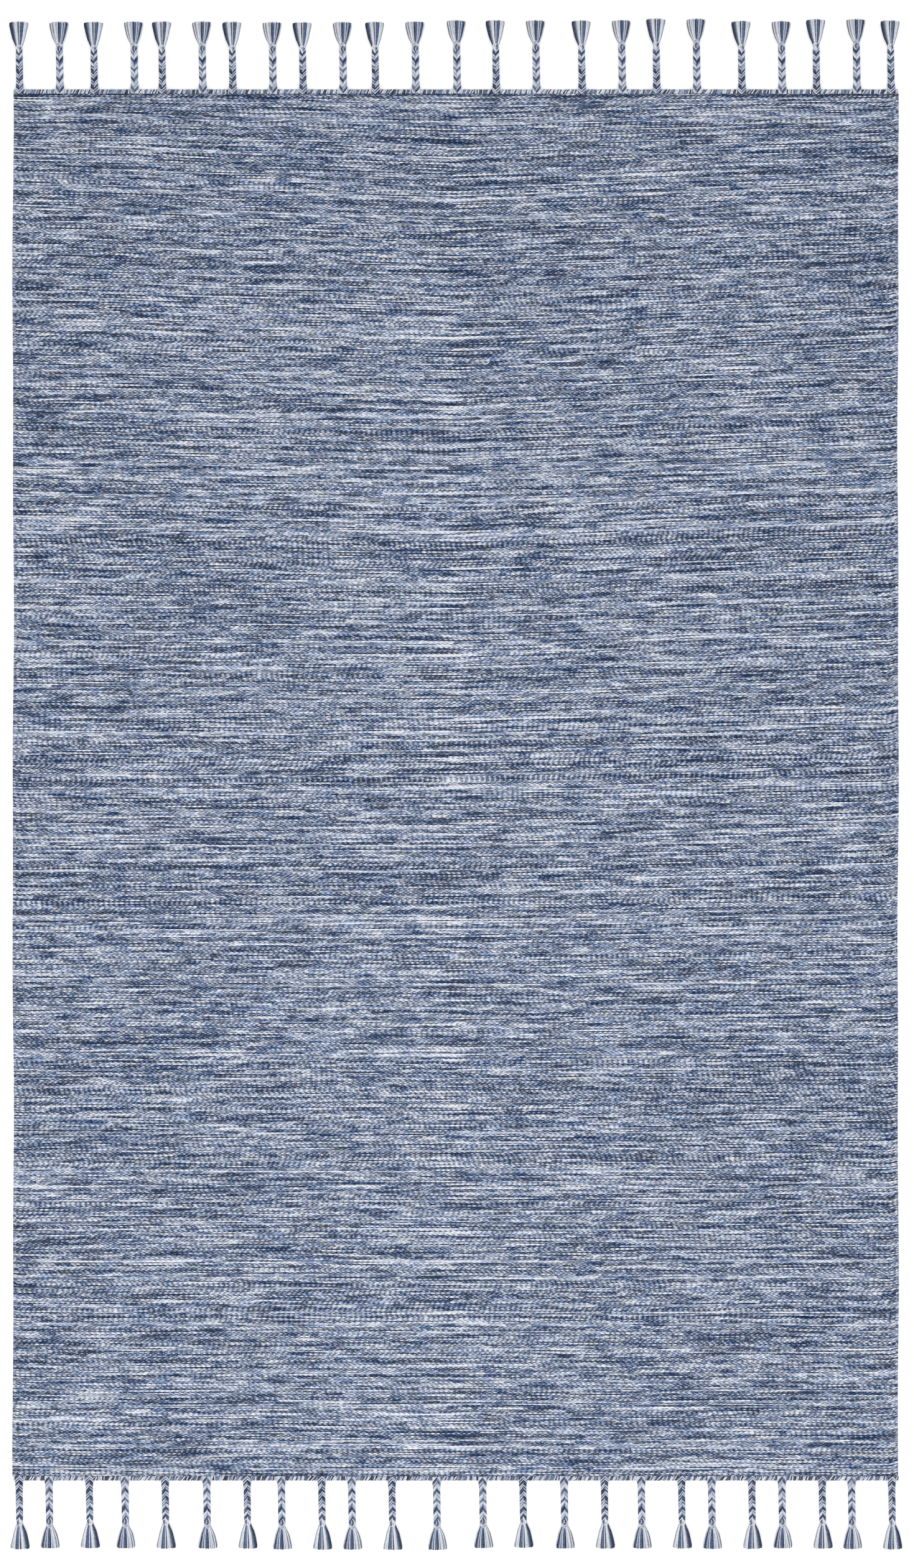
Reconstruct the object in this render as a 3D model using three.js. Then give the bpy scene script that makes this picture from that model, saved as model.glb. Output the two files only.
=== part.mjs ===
// Flat-woven cotton dhurrie rug, laid flat, with a row of plaited tassels along each short end.
// Millimetres, +Z up. X runs across the rug, Y along it towards the far row, and Z = 0 is the floor.
// The origin is on the floor under the middle of the whole rug, tassels included.

import * as THREE from 'three';

// The cloth, a nominal 5 by 8 foot rug, measured over its two end bindings.
const RUG_WIDTH = 1524;
const RUG_LENGTH = 2394;
const CLOTH_THICKNESS = 5;
const SELVEDGE_ROUNDING = 1.5;

// The end binding: overcast yarn along the first and last weft.
const BINDING_DEPTH = 9.5;
const BINDING_THICKNESS = 6;
const BINDING_ROUNDING = 0.8;
const BINDING_CORNER_CUT = 3;

// What parts two neighbouring pieces, squarely and across a notch's slanted walls.
const SEAM = 0.3;
const SLANTED_SEAM = 0.4;

// The notch in the binding that a tassel's warp ends come out of.
const NOTCH = { depth: 5, floorWidth: 5, mouthWidth: 12.4 };

// A tassel: a three-strand plait, its neck, and a skirt of loose yarn in locks.
const PLAIT_WIDTH = 12.9;
const PLAIT_HEIGHT = 8.2;
const CHEVRON_PITCH = 7.8;
const STRAND_RELIEF = 1.2;
const CREST_SHARE = 0.48;
const SKIRT_LENGTH = 40.4;
const LOCKS_PER_SKIRT = 6;
const TIP_LEAN = -1.8;

// Rings of a plait's last stretch, by their distance back from the neck.
const PLAIT_ENDS = {
  banded: [
    { back: 5.4, width: 11.6, height: 8 },
    { back: 3.6, width: 12.2, height: 8.6 },
  ],
  knotted: [
    { back: 9.6, width: 11.2, height: 7.8 },
    { back: 5.2, width: 13.4, height: 9.6 },
  ],
};

// The neck, where the locks part, and the skirt's sections beyond it, by their share of its length.
const NECK = { width: 10.8, height: 7.2, crownWidth: 9.4, crownFall: 1.6 };
const SKIRT_SECTIONS = [
  { along: 0.42, width: 25.4, height: 6.2, gap: 0.5 },
  { along: 1, width: 32.6, height: 4.6, gap: 0.9 },
];
const LOCK_TAPER = 0.16;
const CUT_UNEVENNESS = 0.7;

// Tassels along a row, counted from the row's first corner. Most come as a knotted and a banded one
// a fixed distance apart. far and near are the distances of a group's first root from that corner
// in each row, and reach is how far its tips stand out from the binding.
const PAIR_SPACING = 69.3;
const TASSEL_GROUPS = [
  { ends: ['banded'], far: 13.4, farReach: 117.7, near: 10.7, nearReach: 119.5 },
  { ends: ['knotted', 'banded'], far: 72.2, farReach: 120.4, near: 62.1, nearReach: 118.6 },
  { ends: ['knotted', 'banded'], far: 200.7, farReach: 117.2, near: 192.6, nearReach: 118.6 },
  { ends: ['knotted', 'banded'], far: 347.3, farReach: 120.4, near: 333.4, nearReach: 118.6 },
  { ends: ['knotted', 'banded'], far: 475.7, farReach: 117.7, near: 461.8, nearReach: 120 },
  { ends: ['knotted', 'banded'], far: 623.4, farReach: 118.3, near: 582.7, nearReach: 119.5 },
  { ends: ['knotted'], far: 759.8, farReach: 117.7, near: 728.8, nearReach: 119.5 },
  { ends: ['knotted', 'banded'], far: 831, farReach: 115.6, near: 808, nearReach: 116.8 },
  { ends: ['knotted', 'banded'], far: 955.7, farReach: 115.6, near: 948.2, nearReach: 118.6 },
  { ends: ['knotted', 'banded'], far: 1076.6, farReach: 115.6, near: 1080.9, nearReach: 118.6 },
  { ends: ['knotted', 'banded'], far: 1197.6, farReach: 115.6, near: 1201.8, nearReach: 119.5 },
  { ends: ['knotted', 'banded'], far: 1314.7, farReach: 115.6, near: 1322.8, nearReach: 118.6 },
  { ends: ['knotted', 'banded'], far: 1443.2, farReach: 115.6, near: 1442.6, nearReach: 118.6 },
];

// How far the cloth's four edges stray from straight: two slow waves for each.
const EDGE_WAVES = {
  left: { long: 0.9, longTurn: 2.6, short: 0.6, shortTurn: 0.4 },
  right: { long: 0.7, longTurn: 0.9, short: 0.6, shortTurn: 1.9 },
  far: { long: 0.3, longTurn: 0.2, short: 0.5, shortTurn: 2.4 },
  near: { long: 0.8, longTurn: 1.1, short: 0.4, shortTurn: 0.7 },
};
const LONG_WAVE = 960;
const SHORT_WAVE = 410;
const SIDE_STEPS = 26;

const clothMaterial = new THREE.MeshStandardMaterial({ color: '#868fa2', roughness: 0.95, metalness: 0 });
const bindingMaterial = new THREE.MeshStandardMaterial({ color: '#8f96a8', roughness: 0.95, metalness: 0 });
const bandedMaterial = new THREE.MeshStandardMaterial({ color: '#8a92a5', roughness: 0.9, metalness: 0 });
const knottedMaterial = new THREE.MeshStandardMaterial({ color: '#979fb0', roughness: 0.9, metalness: 0 });

function named(name, geometry, material) {
  const mesh = new THREE.Mesh(geometry, material);
  mesh.name = name;
  return mesh;
}

// An edge's stray from its straight line at a distance along it.
function stray(edge, at) {
  const { long, longTurn, short, shortTurn } = EDGE_WAVES[edge];
  const slow = long * Math.sin((2 * Math.PI * at) / LONG_WAVE + longTurn);
  const quick = short * Math.sin((2 * Math.PI * at) / SHORT_WAVE + shortTurn);
  return slow + quick;
}

// A flat piece of the given outline, its rim rounded above and below.
function flatPiece(outline, thickness, rounding) {
  const geometry = new THREE.ExtrudeGeometry(new THREE.Shape(outline), {
    depth: thickness - 2 * rounding,
    bevelEnabled: true,
    bevelThickness: rounding,
    bevelSize: rounding,
    bevelOffset: -rounding,
    bevelSegments: 1,
    curveSegments: 1,
  });
  return geometry.translate(0, 0, rounding);
}

// The woven field: one flat cloth with selvedges that stray a little.
function wovenField() {
  const halfLength = RUG_LENGTH / 2 - BINDING_DEPTH - SEAM;
  const outline = [];
  for (let step = 0; step <= SIDE_STEPS; step += 1) {
    const y = THREE.MathUtils.lerp(-halfLength, halfLength, step / SIDE_STEPS);
    outline.push(new THREE.Vector2(RUG_WIDTH / 2 + stray('right', y), y));
  }
  for (let step = SIDE_STEPS; step >= 0; step -= 1) {
    const y = THREE.MathUtils.lerp(-halfLength, halfLength, step / SIDE_STEPS);
    outline.push(new THREE.Vector2(-RUG_WIDTH / 2 - stray('left', y), y));
  }
  return flatPiece(outline, CLOTH_THICKNESS, SELVEDGE_ROUNDING);
}

// The roots of a row's tassels, in the row's own frame: x from the row's first corner at +X.
function tasselPlaces(row) {
  const places = [];
  for (const group of TASSEL_GROUPS) {
    group.ends.forEach((end, index) => {
      const x = RUG_WIDTH / 2 - group[row] - index * PAIR_SPACING;
      places.push({ end, x, edge: stray(row, x), reach: group[`${row}Reach`] });
    });
  }
  return places;
}

// The end binding, in the row's own frame: its inner edge along the field and, on its outer edge,
// a notch for each tassel.
function endBinding(places) {
  const halfWidth = RUG_WIDTH / 2;
  const outline = [
    new THREE.Vector2(-halfWidth, -BINDING_DEPTH),
    new THREE.Vector2(halfWidth, -BINDING_DEPTH),
    new THREE.Vector2(halfWidth - BINDING_CORNER_CUT, 0),
  ];
  for (const { x, edge } of places) {
    outline.push(new THREE.Vector2(x + NOTCH.mouthWidth / 2, edge));
    outline.push(new THREE.Vector2(x + NOTCH.floorWidth / 2, edge - NOTCH.depth));
    outline.push(new THREE.Vector2(x - NOTCH.floorWidth / 2, edge - NOTCH.depth));
    outline.push(new THREE.Vector2(x - NOTCH.mouthWidth / 2, edge));
  }
  outline.push(new THREE.Vector2(BINDING_CORNER_CUT - halfWidth, 0));
  return flatPiece(outline, BINDING_THICKNESS, BINDING_ROUNDING);
}

// A closed skin made ring by ring. Rings run anticlockwise as seen from the tassel's root.
class Skin {
  constructor() {
    this.points = [];
    this.faces = [];
  }

  ring(points) {
    const first = this.points.length;
    this.points.push(...points);
    return points.map((point, index) => first + index);
  }

  // Joins one side of a ring to a chain of points on the next ring.
  side(from, to, chain) {
    const middle = Math.ceil((chain.length - 1) / 2);
    for (let i = 0; i + 1 < chain.length; i += 1) {
      this.faces.push([i < middle ? from : to, chain[i], chain[i + 1]]);
    }
    this.faces.push([from, chain[middle], to]);
  }

  band(ring, next) {
    ring.forEach((corner, i) => {
      const j = (i + 1) % ring.length;
      this.side(corner, ring[j], [next[i], next[j]]);
    });
  }

  cap([a, b, c, d]) {
    this.faces.push([a, b, c], [a, c, d]);
  }

  geometry() {
    const geometry = new THREE.BufferGeometry().setFromPoints(this.points);
    geometry.setIndex(this.faces.flat());
    return geometry.toNonIndexed();
  }
}

// The middle line of a tassel leans to one side, from its root at the origin to its tips.
function leanAt(y, reach) {
  return (TIP_LEAN * Math.max(y, 0)) / reach;
}

// A four-sided ring of cord lying on the floor. surfacing is 1 where the right strand comes to the
// surface, -1 for the left one and 0 where the cord is even.
function cordRing(x, y, { width, height }, surfacing) {
  const shift = surfacing * STRAND_RELIEF;
  const crest = (width * CREST_SHARE) / 2;
  return [
    new THREE.Vector3(x - width / 2 + Math.max(shift, 0), y, 0),
    new THREE.Vector3(x + width / 2 + Math.min(shift, 0), y, 0),
    new THREE.Vector3(x + crest + shift, y, height + Math.min(shift, 0)),
    new THREE.Vector3(x - crest + shift, y, height - Math.max(shift, 0)),
  ];
}

// The rings from the root, which sits in the binding's notch, to just short of the neck.
function plaitRings(end, reach) {
  const neckY = reach - SKIRT_LENGTH;
  const inNotch = { width: NOTCH.floorWidth - 2 * SLANTED_SEAM, height: CLOTH_THICKNESS };
  const atMouth = { width: NOTCH.mouthWidth - 2 * SLANTED_SEAM, height: BINDING_THICKNESS };
  const full = { width: PLAIT_WIDTH, height: PLAIT_HEIGHT };
  const rings = [cordRing(0, SEAM - NOTCH.depth, inNotch, 0), cordRing(0, 0, atMouth, 0)];

  // Strands come to the surface left and right by turns, half a chevron apart.
  const length = neckY - PLAIT_ENDS[end][0].back;
  const stretches = Math.round(length / (CHEVRON_PITCH / 2));
  for (let i = 1; i < stretches; i += 1) {
    const y = (length * i) / stretches;
    rings.push(cordRing(leanAt(y, reach), y, full, i % 2 === 0 ? 1 : -1));
  }
  for (const section of PLAIT_ENDS[end]) {
    const y = neckY - section.back;
    rings.push(cordRing(leanAt(y, reach), y, section, 0));
  }
  return rings;
}

// A tassel in its own frame: its root at the origin on the binding's outer edge, its tips at +Y.
function tassel(end, reach) {
  const skin = new Skin();
  const corners = plaitRings(end, reach).map((points) => skin.ring(points));
  skin.cap(corners[0]);
  for (let i = 0; i + 1 < corners.length; i += 1) {
    skin.band(corners[i], corners[i + 1]);
  }

  // The neck has a floor point and a crown point at each side of every lock.
  const neckY = reach - SKIRT_LENGTH;
  const neckX = leanAt(neckY, reach);
  const sides = Array.from({ length: LOCKS_PER_SKIRT + 1 }, (unused, i) => i / LOCKS_PER_SKIRT - 0.5);
  const floor = skin.ring(sides.map((side) => new THREE.Vector3(neckX + side * NECK.width, neckY, 0)));
  const crown = skin.ring(sides.map((side) => {
    const fall = NECK.crownFall * (2 * side) ** 2;
    return new THREE.Vector3(neckX + side * NECK.crownWidth, neckY, NECK.height - fall);
  }));
  const [lowLeft, lowRight, topRight, topLeft] = corners[corners.length - 1];
  skin.side(lowLeft, lowRight, floor);
  skin.side(lowRight, topRight, [floor[LOCKS_PER_SKIRT], crown[LOCKS_PER_SKIRT]]);
  skin.side(topRight, topLeft, [...crown].reverse());
  skin.side(topLeft, lowLeft, [crown[0], floor[0]]);

  // Each lock fans out from the neck to its cut end, apart from its neighbours.
  for (let lock = 0; lock < LOCKS_PER_SKIRT; lock += 1) {
    let ring = [floor[lock], floor[lock + 1], crown[lock + 1], crown[lock]];
    const length = SKIRT_LENGTH + CUT_UNEVENNESS * Math.sin(2 * lock + 1);
    for (const { along, width, height, gap } of SKIRT_SECTIONS) {
      const y = neckY + along * length;
      const middle = leanAt(y, reach);
      const left = middle + sides[lock] * width + gap / 2;
      const right = middle + sides[lock + 1] * width - gap / 2;
      const next = skin.ring([
        new THREE.Vector3(left, y, 0),
        new THREE.Vector3(right, y, 0),
        new THREE.Vector3(THREE.MathUtils.lerp(right, left, LOCK_TAPER), y, height),
        new THREE.Vector3(THREE.MathUtils.lerp(left, right, LOCK_TAPER), y, height),
      ]);
      skin.band(ring, next);
      ring = next;
    }
    skin.cap([...ring].reverse());
  }
  return skin.geometry();
}

// One end of the rug: the binding and its tassels, standing out along +Y.
function endRow(row) {
  const places = tasselPlaces(row);
  const group = new THREE.Group();
  group.add(named(`end_binding_${row}`, endBinding(places), bindingMaterial));
  places.forEach(({ end, x, edge, reach }, index) => {
    const material = end === 'banded' ? bandedMaterial : knottedMaterial;
    const number = String(index + 1).padStart(2, '0');
    const mesh = named(`tassel_${row}_${number}`, tassel(end, reach), material);
    mesh.position.set(x, edge, 0);
    group.add(mesh);
  });
  return group;
}

const rug = new THREE.Group();
rug.add(named('rug_field', wovenField(), clothMaterial));

const farRow = endRow('far');
farRow.position.y = RUG_LENGTH / 2;
rug.add(farRow);

const nearRow = endRow('near');
nearRow.position.y = -RUG_LENGTH / 2;
nearRow.rotation.z = Math.PI;
rug.add(nearRow);

const middle = new THREE.Box3().setFromObject(rug).getCenter(new THREE.Vector3());
rug.position.set(-middle.x, -middle.y, 0);

export default rug;
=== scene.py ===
"""A flat-woven cotton dhurrie rug with a row of plaited tassels along each short end.

It lies flat on a pale floor and is seen from straight above. Sizes are in millimetres where they
are driving dimensions of the rug, and in metres in the meshes.
"""

import math
import random

import bpy
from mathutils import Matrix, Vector, noise


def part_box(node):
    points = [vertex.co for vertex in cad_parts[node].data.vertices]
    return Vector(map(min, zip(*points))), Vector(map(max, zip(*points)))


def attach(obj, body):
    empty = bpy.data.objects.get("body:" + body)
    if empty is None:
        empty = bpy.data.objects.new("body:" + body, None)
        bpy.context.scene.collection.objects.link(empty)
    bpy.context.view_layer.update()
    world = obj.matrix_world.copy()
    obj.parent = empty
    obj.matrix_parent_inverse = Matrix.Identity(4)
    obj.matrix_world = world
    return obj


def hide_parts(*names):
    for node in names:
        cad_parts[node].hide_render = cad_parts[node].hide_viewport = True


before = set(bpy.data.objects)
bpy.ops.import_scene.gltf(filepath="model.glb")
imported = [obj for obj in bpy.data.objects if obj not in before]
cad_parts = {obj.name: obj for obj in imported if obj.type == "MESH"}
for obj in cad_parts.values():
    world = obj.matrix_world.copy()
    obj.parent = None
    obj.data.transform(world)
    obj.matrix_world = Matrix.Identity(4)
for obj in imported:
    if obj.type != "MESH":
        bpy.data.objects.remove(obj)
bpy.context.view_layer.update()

MM = 0.001

# The cloth's own sizes, in millimetres. Each end of it runs in a little under the overcast yarn.
RUG_WIDTH = 1524
CLOTH_THICKNESS = 5
WARP_PITCH = 4.42
PICK_PITCH = 2.2
TUCKED_UNDER = 2

# Where the middle of the cloth lies in the frame: the bindings are as wide as the cloth is.
binding_low, binding_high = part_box("end_binding_far")
field_low, field_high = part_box("rug_field")
MIDDLE = Vector(((binding_low.x + binding_high.x) / 2, (field_low.y + field_high.y) / 2, 0))
FIELD_HALF_LENGTH = (field_high.y - field_low.y) / 2 + TUCKED_UNDER * MM

# Each edge of the cloth lies a little inside its straight line and strays in two slow waves, in
# millimetres and radians.
EDGE_INSET = 0.7
EDGE_WAVES = {
    "left": {"long": 0.9, "long_turn": 2.6, "short": 0.6, "short_turn": 0.4},
    "right": {"long": 0.7, "long_turn": 0.9, "short": 0.6, "short_turn": 1.9},
}
LONG_WAVE = 960
SHORT_WAVE = 410


def metres(sizes):
    """Sizes in millimetres as metres."""
    return [size * MM for size in sizes]


def linear(hex_colour):
    """An sRGB hex colour as linear RGBA."""
    parts = [int(hex_colour[i:i + 2], 16) / 255 for i in (1, 3, 5)]
    return [p / 12.92 if p <= 0.04045 else ((p + 0.055) / 1.055) ** 2.4 for p in parts] + [1.0]


def in_scene(name, data):
    """A new object that shows data, put in the scene."""
    thing = bpy.data.objects.new(name, data)
    bpy.context.scene.collection.objects.link(thing)
    return thing


def add_node(tree, kind, links, **settings):
    """Adds a node. links gives each input, by name or number, a value, a socket or another node."""
    node = tree.nodes.new(kind)
    for name, value in settings.items():
        setattr(node, name, value)
    for key, value in links.items():
        if isinstance(value, bpy.types.Node):
            value = value.outputs[0]
        if isinstance(value, bpy.types.NodeSocket):
            tree.links.new(value, node.inputs[key])
        else:
            node.inputs[key].default_value = value
    return node


def calc(tree, operation, *values):
    """A Math node over numbers, sockets or other nodes."""
    return add_node(tree, "ShaderNodeMath", dict(enumerate(values)), operation=operation)


def vector_calc(tree, operation, *values):
    """A Vector Math node over vectors, sockets or other nodes."""
    return add_node(tree, "ShaderNodeVectorMath", dict(enumerate(values)), operation=operation)


def mapped(tree, value, ends, results, easing="LINEAR"):
    """results[0] up to where value is ends[0], results[1] from where it is ends[1], and between."""
    links = {0: value, 1: ends[0], 2: ends[1], 3: results[0], 4: results[1]}
    return add_node(tree, "ShaderNodeMapRange", links, interpolation_type=easing)


def eased(tree, value, ends, results):
    """As mapped, but smooth at both ends."""
    return mapped(tree, value, ends, results, "SMOOTHSTEP")


def patches(tree, place, size, detail):
    """Noise over the cloth, in patches of about this size in millimetres."""
    spread = add_node(tree, "ShaderNodeMapping", {
        0: place, 3: (1 / (size[0] * MM), 1 / (size[1] * MM), 1.0),
    })
    return add_node(tree, "ShaderNodeTexNoise", {"Vector": spread, "Scale": 1.0, "Detail": detail},
                    noise_dimensions="2D")


def chance_of(tree, number):
    """A random value from 0 to 1 for each number."""
    return add_node(tree, "ShaderNodeTexWhiteNoise", {"W": number}, noise_dimensions="1D").outputs["Value"]


def counted_in(tree, tone, part, share):
    """The tone with one more part in it. The part goes from 0 to 1, and 0.5 changes nothing."""
    return calc(tree, "MULTIPLY_ADD", calc(tree, "ADD", part, -0.5), share, tone)


def mixed_colour(tree, share, first, second):
    """The first colour where share is 0 and the second where it is 1."""
    return add_node(tree, "ShaderNodeMix", {0: share, 6: first, 7: second}, data_type="RGBA").outputs[2]


def stray(edge, at):
    """How far an edge lies outside its straight line, in metres, at a distance along it in metres."""
    wave = EDGE_WAVES[edge]
    slow = wave["long"] * math.sin(2 * math.pi * at / (LONG_WAVE * MM) + wave["long_turn"])
    quick = wave["short"] * math.sin(2 * math.pi * at / (SHORT_WAVE * MM) + wave["short_turn"])
    return (slow + quick - EDGE_INSET) * MM


# The dyed cotton's colours by tone, from its navy lengths to its undyed ones.
DYES = [
    (0.0, "#2e384d"),
    (0.1, "#454f64"),
    (0.25, "#6a7489"),
    (0.4, "#8992a5"),
    (0.5, "#9ba3b4"),
    (0.6, "#acb4c4"),
    (0.75, "#c5cbd9"),
    (0.9, "#dee2ea"),
    (1.0, "#ecedf3"),
]
# The colour of the painted shade in the crevices round the floats and in the grooves of plied yarn.
CREVICE_SHADE = "#1c2438"


def dyed_yarn(tree, tone, turn):
    """The yarn's colour for a tone from 0, navy, to 1, undyed. turn, from 0 to 1, makes it bluer."""
    ramp = add_node(tree, "ShaderNodeValToRGB", {0: tone})
    stops = ramp.color_ramp.elements
    stops[0].position, stops[1].position = DYES[0][0], DYES[-1][0]
    stops[0].color, stops[1].color = linear(DYES[0][1]), linear(DYES[-1][1])
    for position, colour in DYES[1:-1]:
        stops.new(position).color = linear(colour)
    strength = calc(tree, "MULTIPLY_ADD", turn, 0.9, 0.7)
    blue = add_node(tree, "ShaderNodeHueSaturation", {"Saturation": strength, "Color": ramp})
    return blue.outputs[0]


# What the shader of all the cotton shares.
COTTON = {"IOR": 1.5, "Specular IOR Level": 0.2, "Sheen Roughness": 0.5}


def start_material(name, look):
    """A material with its shader, which has this look. Returns it, its node tree and the shader."""
    material = bpy.data.materials.new(name)
    material.use_nodes = True
    tree = material.node_tree
    tree.nodes.clear()
    shader = add_node(tree, "ShaderNodeBsdfPrincipled", look)
    add_node(tree, "ShaderNodeOutputMaterial", {0: shader})
    return material, tree, shader


# The lengthwise crease, in millimetres: a low ridge, over which the picks of the two halves meet in a
# rounded bend and their slopes blend.
CREASE = {"height": 0.3, "half_width": 8, "round": 15, "blend": 30}

# The picks sag towards the crease. Away from it they rise by a slope, which grows from one place to
# another along the rug, and lessens to a share of itself at the far end.
SAG = {
    "left": {"grows": (0, 1150), "slope": 0.03},
    "right": {"grows": (-800, 600), "slope": 0.032},
}
SAG_END = {"lessens": (1080, 1190), "share": 0.35}

# They also wander by a few millimetres, as hand-beaten picks do. Some are beaten closer together than
# others, and their floats slide along.
WANDER = {"patch": (300, 400), "across": 4, "along": 3.5}
BEAT = {"patch": (350, 7), "closer": 2, "slide": 8}

# At the long edges they curl, on the right more than on the left.
CURL = {"grows": (744, 764), "right": 3.5, "left": 0.9}


def in_weave(tree, place, x, mirrored, y, aside):
    """Where in the regular weave each place on the cloth lies."""
    slopes = [
        eased(tree, y, metres(SAG[half]["grows"]), (0.0, -SAG[half]["slope"])) for half in ("left", "right")
    ]
    is_right = mapped(tree, x, metres((-CREASE["blend"], CREASE["blend"])), (0.0, 1.0))
    slope = add_node(tree, "ShaderNodeMix", {0: is_right, 2: slopes[0], 3: slopes[1]})
    sag_end = eased(tree, y, metres(SAG_END["lessens"]), (1.0, SAG_END["share"]))
    sag = calc(tree, "MULTIPLY", calc(tree, "MULTIPLY", slope, sag_end), aside)

    wander = patches(tree, place, WANDER["patch"], 1.0).outputs["Color"]
    drift = vector_calc(tree, "ADD", wander, (-0.5, -0.5, -0.5))
    drift = vector_calc(tree, "MULTIPLY", drift, (WANDER["across"] * MM, WANDER["along"] * MM, 0.0))
    moved = vector_calc(tree, "ADD", place, drift)

    beaten = patches(tree, place, BEAT["patch"], 0.0)
    shift = calc(tree, "MULTIPLY_ADD", beaten, BEAT["closer"] * MM, sag)
    for outward, side in ((x, "right"), (mirrored, "left")):
        curl = eased(tree, outward, metres(CURL["grows"]), (0.0, -CURL[side] * MM))
        shift = calc(tree, "ADD", shift, curl)
    slide = add_node(tree, "ShaderNodeSeparateColor", {0: beaten.outputs["Color"]}).outputs[1]
    slide = calc(tree, "MULTIPLY", slide, BEAT["slide"] * MM)
    shift = add_node(tree, "ShaderNodeCombineXYZ", {0: slide, 1: shift})
    return vector_calc(tree, "ADD", moved, shift)


# The floats of one pick may slip along by up to this share of a repeat. A place belongs to the float that
# is nearest to it, its distances along and across the pick counted by these.
FLOAT_SLIP = 0.46
FLOAT_REACH = (0.5, 1.2, 0.0)

# How fast a float falls away towards its ends, in the loosest pick and in the tightest, and to its sides.
FLOAT_ENDS = (0.9, 3.0)
FLOAT_SIDES = 2.5

# Its dome falls from the crown to the foot between these distances from its middle. The crevice round it is
# painted in shade over a stretch of them, by the first share round dark floats and the second round light
# ones.
DOME = (0.1, 0.9)
SHADED = {"over": (0.5, 1.0), "tones": (0.3, 1.0), "shares": (0.42, 0.2)}


def nearest_float(tree, moved):
    """The float that each place belongs to: whether its pick is an odd one, the way to it and its number.

    A float lies over one warp, and the next pick's floats lie half a repeat along, give or take. So the
    floats of the even picks are one lattice, and those of the odd picks are another.
    """
    repeats = vector_calc(tree, "MULTIPLY", moved,
                          (1 / (2 * WARP_PITCH * MM), 1 / (2 * PICK_PITCH * MM), 0.0))
    lattices = []
    for start in (0.0, 0.5):
        spot = vector_calc(tree, "ADD", repeats, (start, start, 0.0))
        row = add_node(tree, "ShaderNodeSeparateXYZ", {0: spot}).outputs[1]
        seed = calc(tree, "ADD", calc(tree, "ROUND", row), 0.25 + start)
        slip = calc(tree, "MULTIPLY", chance_of(tree, seed), FLOAT_SLIP)
        slip = add_node(tree, "ShaderNodeCombineXYZ", {0: slip})
        spot = vector_calc(tree, "ADD", spot, slip)
        cell = vector_calc(tree, "FLOOR", vector_calc(tree, "ADD", spot, (0.5, 0.5, 0.0)))
        away = vector_calc(tree, "SUBTRACT", spot, cell)
        apart = vector_calc(tree, "ABSOLUTE", away)
        far = vector_calc(tree, "DOT_PRODUCT", apart, FLOAT_REACH).outputs["Value"]
        number = vector_calc(tree, "SUBTRACT", cell, (start, start, 0.0))
        lattices.append((far, away, number))
    even, odd = lattices
    is_odd = calc(tree, "LESS_THAN", odd[0], even[0])
    away, number = [
        add_node(tree, "ShaderNodeMix", {0: is_odd, 4: of_even, 5: of_odd}, data_type="VECTOR").outputs[1]
        for of_even, of_odd in zip(even[1:], odd[1:])
    ]
    return is_odd, away, number


# The weft's strands are dyed in lengths, in millimetres, each at its own places. Then how much each counts
# in the tone, and whether its dye changes abruptly, from one float to the next.
DYED_LENGTHS = [
    (2500, 0.54, False),
    (300, 0.97, False),
    (80, 0.85, False),
    (75, 0.33, True),
    (22, 0.4, True),
]

# How many dyed lengths further along the yarn has come two picks later.
PICKS_APART = 75.46


def dyed_tone(tree, x, float_at):
    """The tone that the dyed lengths give together, and the turn of the shortest."""
    tone = 0.0
    row = calc(tree, "MULTIPLY", float_at.outputs[1], PICKS_APART)
    for length, share, abrupt in DYED_LENGTHS:
        if abrupt:
            along = calc(tree, "MULTIPLY_ADD", float_at.outputs[0], 2 * WARP_PITCH / length, row)
            dye = add_node(tree, "ShaderNodeTexVoronoi", {"W": along, "Scale": 1.0}, voronoi_dimensions="1D")
            parts = add_node(tree, "ShaderNodeSeparateColor", {0: dye.outputs["Color"]})
            part, turn = parts.outputs[0], parts.outputs[1]
        else:
            along = calc(tree, "MULTIPLY_ADD", x, 1 / (length * MM), row)
            part = add_node(tree, "ShaderNodeTexNoise", {"W": along, "Scale": 1.0, "Detail": 1.0},
                            noise_dimensions="1D")
        tone = counted_in(tree, tone, part, share)
    return tone, turn


# How much else counts in the tone: faint clouds over the cloth, two yarns taken in turn, each float's own
# speck, its plies and the painted light and shade of its dome, lighter at the crown and darker at the foot.
# Then how large the patches of these are, in millimetres.
TONE_SHARES = {"cloud": 0.08, "in_turn": 1.05, "speck": 0.38, "ply": 0.8, "dome": 0.42}
PATCHES = {"cloud": (300, 40), "in_turn": (100, 15), "ply": (5, 1.1), "fibre": (4, 0.5)}

# The contrast of all this, its middle, and how softly it ends at the darkest dye.
CONTRAST = 1.03
MIDDLE_TONE = 0.455
SOFT_END = 0.3

# The cloth is a little darker towards its sides and its far end, whose last picks are navy. Each change of
# tone is over a stretch in millimetres: from the crease, along the rug, and in from the far end.
SIDE_TONES = {"over": (0, 760), "tones": (0.012, -0.018)}
END_TONES = {"over": (-1190, 1190), "tones": (0.002, -0.01)}
NAVY_PICKS = {"over": (9.5, 3.5), "tones": (0.0, -0.24)}

# How far the turn strays from its middle in the darkest lengths, and how much more in light ones.
TURNS = {"middle": 0.6, "dark": 0.9, "light": 0.8}


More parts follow.
